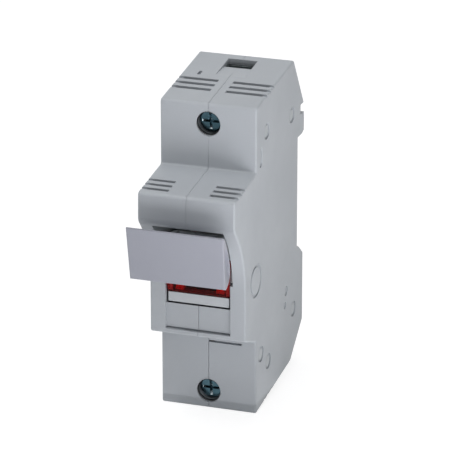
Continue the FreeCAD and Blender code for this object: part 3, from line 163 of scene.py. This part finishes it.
# Seam between the housing halves: half its width, how near to it an edge is in it, the
# limits of its bead, and the bead's section as (x, depth in the groove)
SEAM_HALF = 0.1
SEAM_TOLERANCE = 0.0001
BEAD_LOW_Z = 5.0
BEAD_BACK_Y = -3.0
BEAD = ((-0.09, 0.07), (0.0, 0.04), (0.09, 0.07), (0.09, 0.2), (-0.09, 0.2))


def direction(azimuth, elevation):
    """Unit vector from the object towards a viewer."""
    a, e = math.radians(azimuth), math.radians(elevation)
    return Vector((math.sin(a) * math.cos(e), -math.cos(a) * math.cos(e), math.sin(e)))


def place_object(name, data):
    """A new object in the scene, turned by its quaternion."""
    item = bpy.data.objects.new(name, data)
    bpy.context.scene.collection.objects.link(item)
    item.rotation_mode = "QUATERNION"
    return item


def make_camera():
    data = bpy.data.cameras.new("camera")
    data.lens = CAMERA_LENS
    camera = place_object("camera", data)
    back = direction(CAMERA_AZIMUTH, CAMERA_ELEVATION)
    camera.location = Vector(CAMERA_AIM) + back * CAMERA_DISTANCE
    camera.rotation_quaternion = (-back).to_track_quat("-Z", "Y")
    bpy.context.scene.camera = camera


def make_lamp(name, place, size, glow, colour, in_gloss):
    data = bpy.data.lights.new(name, "AREA")
    data.shape = "SQUARE"
    data.size = size
    data.energy = glow * math.pi * size * size
    data.color = colour
    lamp = place_object(name, data)
    flat = place[2] == FLAT_LAMP_Z
    facing = Vector((0.0, 0.0, 1.0)) if flat else Vector(LAMP_AIM) - Vector(place)
    lamp.location = place
    lamp.rotation_quaternion = facing.to_track_quat("-Z", "Y")
    lamp.visible_camera = False
    lamp.visible_glossy = in_gloss


class Tree:
    """Short forms for building a node tree."""

    def __init__(self, owner):
        owner.use_nodes = True
        self.nodes = owner.node_tree.nodes
        self.links = owner.node_tree.links
        self.nodes.clear()

    def add(self, kind, inputs=None, **settings):
        """A new node; an input is a plain value or another node's output."""
        node = self.nodes.new("ShaderNode" + kind)
        for name, value in settings.items():
            setattr(node, name, value)
        for name, value in (inputs or {}).items():
            if isinstance(value, bpy.types.NodeSocket):
                self.links.new(value, node.inputs[name])
            else:
                node.inputs[name].default_value = value
        return node

    def math(self, operation, first, second):
        return self.add("Math", {0: first, 1: second}, operation=operation).outputs[0]

    def spread(self, value, low, high, source=NOISE_RANGE):
        """Moves a value from its source range to the one from low to high."""
        return self.add("MapRange", {
            "Value": value, "From Min": source[0], "From Max": source[1],
            "To Min": low, "To Max": high}).outputs["Result"]

    def mix(self, share, first, second):
        inputs = {"Fac": share, "Color1": first, "Color2": second}
        return self.add("MixRGB", inputs).outputs["Color"]

    def two_tone(self, noise, first, second):
        """From one colour to the other as the noise goes through its range."""
        return self.mix(self.spread(noise, 0.0, 1.0), (*first, 1.0), (*second, 1.0))

    def noise(self, where, scale, detail, roughness):
        return self.add("TexNoise", {
            "Vector": where, "Scale": scale, "Detail": detail,
            "Roughness": roughness}).outputs["Fac"]

    def edges(self, radius):
        """The rounded normal near sharp edges, and a mask that is 1 on them."""
        rounded = self.add("Bevel", {"Radius": radius}, samples=6).outputs["Normal"]
        flat = self.add("NewGeometry").outputs["Normal"]
        agree = self.add("VectorMath", {0: rounded, 1: flat}, operation="DOT_PRODUCT")
        return rounded, self.spread(agree.outputs["Value"], 1.0, 0.0, EDGE_RANGE)

    def bump(self, height, strength, distance, **normal):
        inputs = {"Strength": strength, "Distance": distance, "Height": height, **normal}
        return self.add("Bump", inputs).outputs["Normal"]

    def principled(self, base, rough, normal, **constants):
        """Makes a Principled shader the material's surface. Underscores in the names of
        its constant sockets stand for spaces."""
        inputs = {"Base Color": base, "Roughness": rough, "Normal": normal}
        for name, value in constants.items():
            inputs[name.replace("_", " ")] = value
        shader = self.add("BsdfPrincipled", inputs)
        self.add("OutputMaterial", {"Surface": shader.outputs[0]})


def seen_directly(tree):
    """1 for rays that look at the background straight, in a mirror or through glass."""
    path = tree.add("LightPath").outputs
    seen = tree.math("MAXIMUM", path["Is Camera Ray"], path["Is Glossy Ray"])
    return tree.math("MAXIMUM", seen, path["Is Transmission Ray"])


def make_world():
    """Faint sky light on the object, in front of a plain white background."""
    world = bpy.data.worlds.new("studio")
    bpy.context.scene.world = world
    tree = Tree(world)
    sky = tree.add("Background", {"Color": SKY_COLOUR, "Strength": SKY_LEVEL})
    white = tree.add("Background", {"Color": WHITE, "Strength": 1.0})
    shown = tree.add("MixShader", {0: seen_directly(tree), 1: sky.outputs[0],
                                   2: white.outputs[0]})
    tree.add("OutputWorld", {"Surface": shown.outputs[0]})


def make_floor():
    """Pale floor that shows white and keeps the object's shadow."""
    z = cad_box[0].z
    corners = [(x * FLOOR_HALF, y * FLOOR_HALF, z)
               for x, y in ((-1, -1), (1, -1), (1, 1), (-1, 1))]
    mesh = bpy.data.meshes.new("floor")
    mesh.from_pydata(corners, [], [(0, 1, 2, 3)])
    floor = bpy.data.objects.new("floor", mesh)
    bpy.context.scene.collection.objects.link(floor)
    material = bpy.data.materials.new("pale_floor")
    tree = Tree(material)
    seen = seen_directly(tree)
    matt = tree.add("BsdfDiffuse", {"Color": tree.mix(seen, FLOOR_BOUNCE, FLOOR_SHOWN)})
    glow = tree.add("Emission", {"Strength": tree.math("MULTIPLY", seen, FLOOR_GLOW)})
    surface = tree.add("AddShader", {0: matt.outputs[0], 1: glow.outputs[0]})
    tree.add("OutputMaterial", {"Surface": surface.outputs[0]})
    mesh.materials.append(material)


def new_material(name):
    """A material, its empty tree, and where a point is on its object."""
    material = bpy.data.materials.new(name)
    tree = Tree(material)
    return material, tree, tree.add("TexCoord").outputs["Object"]


def lighter(colour, times):
    return (*(min(1.0, level * times) for level in colour), 1.0)


def plastic(name, colour, tint, roughness, grain, edge=0.0003):
    """Moulded plastic: spark-eroded grain, faint flow mottling, fine specks, softened and
    lightly polished edges, and a painted highlight that lightens the edges' colour."""
    material, tree, where = new_material(name)
    rounded, mask = tree.edges(edge)
    mottle = tree.noise(where, scale=55.0, detail=3.0, roughness=0.6)
    speck = tree.noise(where, scale=2600.0, detail=2.0, roughness=0.6)
    base = tree.two_tone(mottle, colour, tint)
    base = tree.mix(tree.spread(speck, 0.0, 0.05, SPECK_RANGE), base, SPECK_COLOUR)
    # Painted highlight: the edges are lighter than the plastic's own colour
    base = tree.mix(tree.math("MULTIPLY", mask, 0.5), base, lighter(colour, 1.18))
    rough = tree.spread(mottle, roughness - 0.05, roughness + 0.05)
    rough = tree.math("SUBTRACT", rough, tree.math("MULTIPLY", mask, 0.12))
    fine = tree.noise(where, scale=3800.0, detail=2.0, roughness=0.7)
    coarse = tree.noise(where, scale=900.0, detail=3.0, roughness=0.6)
    height = tree.math("ADD", fine, tree.math("MULTIPLY", coarse, 0.6))
    bump = tree.bump(height, strength=grain, distance=0.00006, Normal=rounded)
    tree.principled(base, rough, bump, IOR=1.5)
    return material


def metal(name, colour, tint, roughness, scratch, stretch=(1.0, 1.0, 1.0)):
    """Plated metal: blotchy tint, fine drawn scratches, and edges made lighter as rubbed
    wear and painted highlight together. The scratches run along the axis that stretch
    makes small."""
    material, tree, where = new_material(name)
    rounded, mask = tree.edges(0.0002)
    blotch = tree.noise(where, scale=260.0, detail=4.0, roughness=0.65)
    base = tree.two_tone(blotch, colour, tint)
    # Edges lighter than the metal: rubbed wear and painted highlight together
    base = tree.mix(tree.math("MULTIPLY", mask, 0.6), base, lighter(colour, 1.5))
    drawn = tree.add("Mapping", {"Vector": where, "Scale": stretch}).outputs[0]
    lines = tree.noise(drawn, scale=2400.0, detail=3.0, roughness=0.6)
    rough = tree.math("ADD", tree.spread(lines, -0.06, 0.08), roughness)
    bump = tree.bump(lines, strength=scratch, distance=0.00004, Normal=rounded)
    tree.principled(base, rough, bump, Metallic=1.0)
    return material


def translucent(name, colour, tint, roughness, transmission, ior):
    """Tinted plastic, clear or cloudy, with faint moulding waves."""
    material, tree, where = new_material(name)
    waves = tree.noise(where, scale=300.0, detail=2.0, roughness=0.5)
    base = tree.two_tone(waves, colour, tint)
    bump = tree.bump(waves, strength=0.08, distance=0.0001)
    tree.principled(base, roughness, bump, Transmission_Weight=transmission, IOR=ior)
    return material


def ceramic(name):
    """Unglazed steatite: off-white, faint pores and mottling."""
    material, tree, where = new_material(name)
    mottle = tree.noise(where, scale=120.0, detail=4.0, roughness=0.6)
    pores = tree.noise(where, scale=1800.0, detail=3.0, roughness=0.7)
    base = tree.two_tone(mottle, (0.84, 0.82, 0.77), (0.76, 0.73, 0.67))
    bump = tree.bump(pores, strength=0.2, distance=0.00008)
    tree.principled(base, tree.spread(pores, 0.35, 0.55), bump)
    return material


def laminate(name):
    """Circuit board: green lacquer over a faint glass weave."""
    material, tree, where = new_material(name)
    weave = tree.add("TexWave", {"Vector": where, "Scale": 700.0, "Distortion": 0.4},
                     bands_direction="DIAGONAL").outputs["Fac"]
    cloud = tree.noise(where, scale=400.0, detail=2.0, roughness=0.5)
    base = tree.two_tone(cloud, (0.01, 0.09, 0.045), (0.016, 0.12, 0.055))
    bump = tree.bump(weave, strength=0.1, distance=0.00003)
    tree.principled(base, 0.5, bump, Specular_IOR_Level=0.15)
    return material


def dress(node, material):
    """Gives a CAD node its finish in every one of its material slots."""
    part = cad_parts[node]
    if not part.material_slots:
        part.data.materials.append(material)
    for slot in part.material_slots:
        slot.material = material


def add_piece(name, form, body, material, smooth=False):
    """Turns a bmesh in millimetres into a piece that rides a body."""
    bmesh.ops.remove_doubles(form, verts=form.verts, dist=MERGE_DISTANCE)
    bmesh.ops.recalc_face_normals(form, faces=form.faces)
    bmesh.ops.scale(form, vec=(MM, MM, MM), verts=form.verts)
    mesh = bpy.data.meshes.new(name)
    form.to_mesh(mesh)
    form.free()
    for face in mesh.polygons:
        face.use_smooth = smooth
    mesh.materials.append(material)
    piece = bpy.data.objects.new(name, mesh)
    bpy.context.scene.collection.objects.link(piece)
    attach(piece, body)
    return piece


def bridge(form, near, far):
    """Faces that join two closed loops with as many corners."""
    for index in range(len(near)):
        after = (index + 1) % len(near)
        form.faces.new((near[index], near[after], far[after], far[index]))


def offset(profile, radius, height, way=1):
    """A profile whose radii and heights count from these. Way -1 turns it over."""
    return [(radius + r, height + way * h) for r, h in profile]


def add_lathed(name, profile, place, body, material, steps=96, smooth=True):
    """A piece turned from a closed line of (radius, height) round a place's Z axis."""
    form = bmesh.new()
    rings = []
    for step in range(steps):
        turn = 2.0 * math.pi * step / steps
        rings.append([
            form.verts.new(place @ Vector((r * math.cos(turn), r * math.sin(turn), h)))
            for r, h in profile])
    for first, second in zip(rings, rings[1:] + rings[:1]):
        for index in range(len(profile)):
            after = (index + 1) % len(profile)
            starts_on_axis = profile[index][0] == 0.0
            ends_on_axis = profile[after][0] == 0.0
            corners = [first[index], first[after], second[after], second[index]]
            if starts_on_axis and ends_on_axis:
                continue
            if starts_on_axis:
                corners.pop()
            elif ends_on_axis:
                corners.pop(2)
            form.faces.new(corners)
    add_piece(name, form, body, material, smooth)


def add_screw_details(end, dark, bright):
    """Dark bush that paints the shade in the screw's hole, and the tapered recess of its
    head, worn bright and painted lighter for glints. The screw's axis goes into the
    terminal along +Y of place and +Z of inward."""
    tilt = Matrix.Rotation(math.radians(SCREW_TILT), 4, "X")
    place = Matrix.Translation((0.0, TERMINAL_Y, SCREWS[end])) @ tilt
    inward = place @ Matrix.Rotation(math.radians(-90.0), 4, "X")
    body = end + "_screw"
    # Dark bush: painted shade on the hole's wall
    add_lathed(end + "_screw_shade_bush", offset(SHADE_BUSH, HOLE_RADIUS, 0.0), inward,
               "housing", dark, steps=64)
    wings = bmesh.new()
    for quarter in range(4):
        turned = place @ Matrix.Rotation(math.radians(90.0 * quarter), 4, "Y")
        sides = [[wings.verts.new(turned @ Vector((x, HEAD_DEPTH + depth, z)))
                  for x, depth in WING] for z in (-WING_HALF, WING_HALF)]
        wings.faces.new(sides[0])
        wings.faces.new(sides[1])
        bridge(wings, *sides)
    add_piece(end + "_screw_recess_wings", wings, body, bright)
    add_lathed(end + "_screw_recess_point", offset(POINT, 0.0, HEAD_DEPTH), inward,
               body, bright, steps=24, smooth=False)


def add_fuse_details(ink, metal_cap, solder):
    """Ink band on the tube, and on each cap a rolled crimp, a pressed ring and a seal."""
    axis = Matrix.Translation((0.0, FUSE_Y, 0.0))
    add_lathed("fuse_ink_band", offset(INK_BAND, TUBE_RADIUS, 0.0), axis,
               "carriage", ink)
    for end, (face, edge, way) in CAPS.items():
        crimp = offset(CRIMP, CAP_RADIUS, edge + way * CRIMP_INSET)
        ring = offset(CAP_RING, 0.0, face, way)
        seal = offset(CAP_SEAL, 0.0, face, way)
        add_lathed("fuse_crimp_" + end, crimp, axis, "carriage", metal_cap)
        add_lathed("fuse_cap_ring_" + end, ring, axis, "carriage", metal_cap)
        add_lathed("fuse_cap_seal_" + end, seal, axis, "carriage", solder, steps=48)


def stand_on_board(form, x, half, z0, z1, height, cut):
    """A block on the board's front. Its four outer edges are cut back by this much."""
    x0, x1, y0, y1 = x - half, x + half, BOARD_Y - height, BOARD_Y
    rows = (
        ((x0 + cut, y0, z0 + cut), (x1 - cut, y0, z0 + cut),
         (x1 - cut, y0, z1 - cut), (x0 + cut, y0, z1 - cut)),
        ((x0, y0 + cut, z0), (x1, y0 + cut, z0), (x1, y0 + cut, z1), (x0, y0 + cut, z1)),
        ((x0, y1, z0), (x1, y1, z0), (x1, y1, z1), (x0, y1, z1)),
    )
    loops = [[form.verts.new(corner) for corner in row] for row in rows]
    form.faces.new(loops[0])
    form.faces.new(loops[2])
    for near, far in zip(loops, loops[1:]):
        bridge(form, near, far)


def add_board_details(black, solder, lens):
    """Chip resistors, a diode and solder on the indicator board, a lens on each light."""
    bodies, ends = bmesh.new(), bmesh.new()
    for row in CHIP_ROWS:
        z0, z1 = row - CHIP_HALF_Z, row + CHIP_HALF_Z
        for x in (-CHIP_X, CHIP_X):
            stand_on_board(bodies, x, CHIP_HALF_X, z0, z1, CHIP_HEIGHT, cut=0.08)
            for way in (-1, 1):
                stand_on_board(ends, x + way * (CHIP_HALF_X + CHIP_END_HALF), CHIP_END_HALF,
                               z0, z1, CHIP_END_HEIGHT, cut=0.1)
    stand_on_board(bodies, 0.0, DIODE_HALF_X, *DIODE_Z, DIODE_HEIGHT, cut=0.2)
    for x, z0, z1 in PADS:
        stand_on_board(ends, x, PAD_HALF_X, z0, z1, PAD_HEIGHT, cut=0.12)
    add_piece("board_chips", bodies, "lever", black)
    add_piece("board_solder", ends, "lever", solder)
    forward = Matrix.Rotation(math.radians(90.0), 4, "X")
    for side, x in (("left", -LIGHT_X), ("right", LIGHT_X)):
        place = Matrix.Translation((x, LIGHT_FRONT_Y, LIGHT_Z)) @ forward
        add_lathed("indicator_lens_" + side, LENS, place, "lever", lens, steps=32)


def add_latch_spring(material):
    """Coil with closed end turns in the latch's window, in place of the CAD spring."""
    low = SPRING_LOW_Z + WIRE_RADIUS
    rise = SPRING_HIGH_Z - SPRING_LOW_Z - 2.0 * WIRE_RADIUS
    pitch = (rise - 2.0 * SPRING_END_PITCH) / (SPRING_TURNS - 2)
    coil = bmesh.new()
    rings = []
    for step in range(SPRING_TURNS * SPRING_STEPS + 1):
        turn = step / SPRING_STEPS
        ends = min(turn, 1.0) + max(turn - SPRING_TURNS + 1.0, 0.0)
        height = low + ends * SPRING_END_PITCH + (turn - ends) * pitch
        around = 2.0 * math.pi * turn
        ring = []
        for side in range(WIRE_SIDES):
            tilt = 2.0 * math.pi * side / WIRE_SIDES
            radius = SPRING_RADIUS + WIRE_RADIUS * math.cos(tilt)
            ring.append(coil.verts.new((
                radius * math.cos(around), SPRING_Y + radius * math.sin(around),
                height + WIRE_RADIUS * math.sin(tilt))))
        rings.append(ring)
    for near, far in zip(rings, rings[1:]):
        bridge(coil, near, far)
    coil.faces.new(rings[0])
    coil.faces.new(rings[-1])
    piece = add_piece("latch_spring_coil", coil, "latch", material, smooth=True)
    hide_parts("rail_latch_spring")
    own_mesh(piece)


def seam_edges():
    """The groove's outer edges on the right half, in metres: each as its two ends, with
    the normal of the outer face beside it."""
    form = bmesh.new()
    form.from_mesh(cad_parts["housing_right"].data)
    form.normal_update()
    wall = SEAM_HALF * MM
    found = []
    for line in form.edges:
        start, end = (vert.co for vert in line.verts)
        middle = (start + end) / 2.0
        if max(abs(start.x - wall), abs(end.x - wall)) > SEAM_TOLERANCE * MM:
            continue
        if middle.z < BEAD_LOW_Z * MM or middle.y > BEAD_BACK_Y * MM:
            continue
        for face in line.link_faces:
            # The groove's floor reaches in past its wall, and the wall faces sideways
            in_groove = min(vert.co.x for vert in face.verts) < 0.9 * wall
            sideways = abs(face.normal.x) > 0.5
            if not in_groove and not sideways:
                found.append((tuple(start), tuple(end), face.normal.copy()))
    form.free()
    return found


def add_seam_bead(material):
    """Thin bead of plastic that closes most of the groove between the halves, on the
    upper terminal and the nose, where the halves meet tightly."""
    lines = seam_edges()
    normals = {}
    for start, end, normal in lines:
        normals.setdefault(start, []).append(normal)
        normals.setdefault(end, []).append(normal)
    bead = bmesh.new()
    sections = {}
    for spot, beside in normals.items():
        outward = sum(beside, Vector()).normalized()
        here = Vector(spot) / MM
        sections[spot] = [
            bead.verts.new((x, here.y - outward.y * depth, here.z - outward.z * depth))
            for x, depth in BEAD]
    for start, end, _ in lines:
        bridge(bead, sections[start], sections[end])
    for spot, beside in normals.items():
        if len(beside) == 1:
            bead.faces.new(sections[spot])
    add_piece("seam_bead", bead, "housing", material)


make_camera()
make_world()
make_floor()
for name, values in LAMPS.items():
    make_lamp(name, *values)
bpy.context.scene.view_settings.view_transform = "Standard"

# Colours are linear, and a tint is the colour that a material's blotches go to.
# Plastics: colour, tint, roughness, depth of grain, and how far the edges look rounded
# and carry their painted highlight
housing = plastic("housing_plastic", (0.455, 0.482, 0.512), (0.437, 0.463, 0.492), 0.5, 0.35)
lever = plastic("lever_plastic", (0.54, 0.565, 0.59), (0.52, 0.545, 0.57), 0.45, 0.25)
# The grip's wider edges give its sides a wider painted highlight
grip = plastic("grip_plastic", (0.335, 0.345, 0.395), (0.32, 0.33, 0.38), 0.42, 0.25, 0.0007)
dark = plastic("dark_plastic", (0.02, 0.02, 0.022), (0.026, 0.026, 0.028), 0.45, 0.3)
# Metals: colour, tint, roughness, depth of scratches, and their stretch
zinc = metal("zinc_plated_steel", (0.42, 0.46, 0.48), (0.36, 0.42, 0.46), 0.3, 0.3)
# Screw heads: bluish zinc, darkened to paint the dark reflections in their holes
screw = metal("blue_zinc_steel_painted_dark", (0.06, 0.11, 0.135), (0.04, 0.08, 0.1), 0.2, 0.5)
spring = metal("spring_steel", (0.42, 0.41, 0.4), (0.36, 0.36, 0.36), 0.35, 0.3,
               (1.0, 1.0, 0.1))
silver = metal("silver_plated_copper", (0.78, 0.76, 0.7), (0.7, 0.67, 0.6), 0.3, 0.25,
               (0.1, 1.0, 1.0))
cap = metal("silver_plated_cap", (0.6, 0.585, 0.55), (0.52, 0.5, 0.47), 0.3, 0.4,
            (1.0, 1.0, 0.1))
element = metal("silver_strip", (0.82, 0.81, 0.78), (0.76, 0.75, 0.72), 0.3, 0.2)
# Clear and cloudy plastics: colour, tint, roughness, transmission, refraction
window = translucent("red_window", (0.53, 0.028, 0.026), (0.49, 0.025, 0.024),
                     0.06, 0.99, 1.15)
light = translucent("red_light", (1.0, 0.25, 0.1), (0.96, 0.22, 0.08), 0.3, 0.0, 1.49)
tube = ceramic("fuse_ceramic")
board = laminate("green_laminate")
# Finishes of the pieces that are made here, and the rivets' lacquer
# Screw recesses: worn bare zinc, made lighter to paint glints against the dark heads
worn_glint = metal("worn_glint_zinc", (0.62, 0.7, 0.73), (0.5, 0.58, 0.62), 0.2, 0.4)
solder = metal("solder", (0.6, 0.6, 0.58), (0.5, 0.5, 0.49), 0.3, 0.5)
rivet = plastic("grey_lacquer", (0.44, 0.47, 0.49), (0.42, 0.45, 0.47), 0.4, 0.15)
ink = plastic("ink_band", (0.05, 0.16, 0.12), (0.06, 0.18, 0.14), 0.5, 0.3)

FINISHES = {
    "housing_left": housing, "housing_right": housing, "housing_rivets": rivet,
    "upper_contact": silver, "lower_contact": silver,
    "upper_jaw_clip": spring, "lower_jaw_clip": spring,
    "upper_clamp_cage": zinc, "lower_clamp_cage": zinc,
    "upper_clamp_screw": screw, "lower_clamp_screw": screw,
    "rail_latch": dark, "rail_latch_spring": spring,
    "swing_lever": lever, "grip_plate": grip,
    "indicator_window": window, "indicator_board": board, "indicator_lights": light,
    "fuse_carriage": dark, "fuse_tube": tube, "fuse_cap_upper": cap, "fuse_cap_lower": cap,
    "fuse_element": element,
}
for node, material in FINISHES.items():
    dress(node, material)

for end in SCREWS:
    add_screw_details(end, dark, worn_glint)
add_fuse_details(ink, cap, solder)
add_board_details(dark, solder, light)
add_latch_spring(spring)
add_seam_bead(housing)
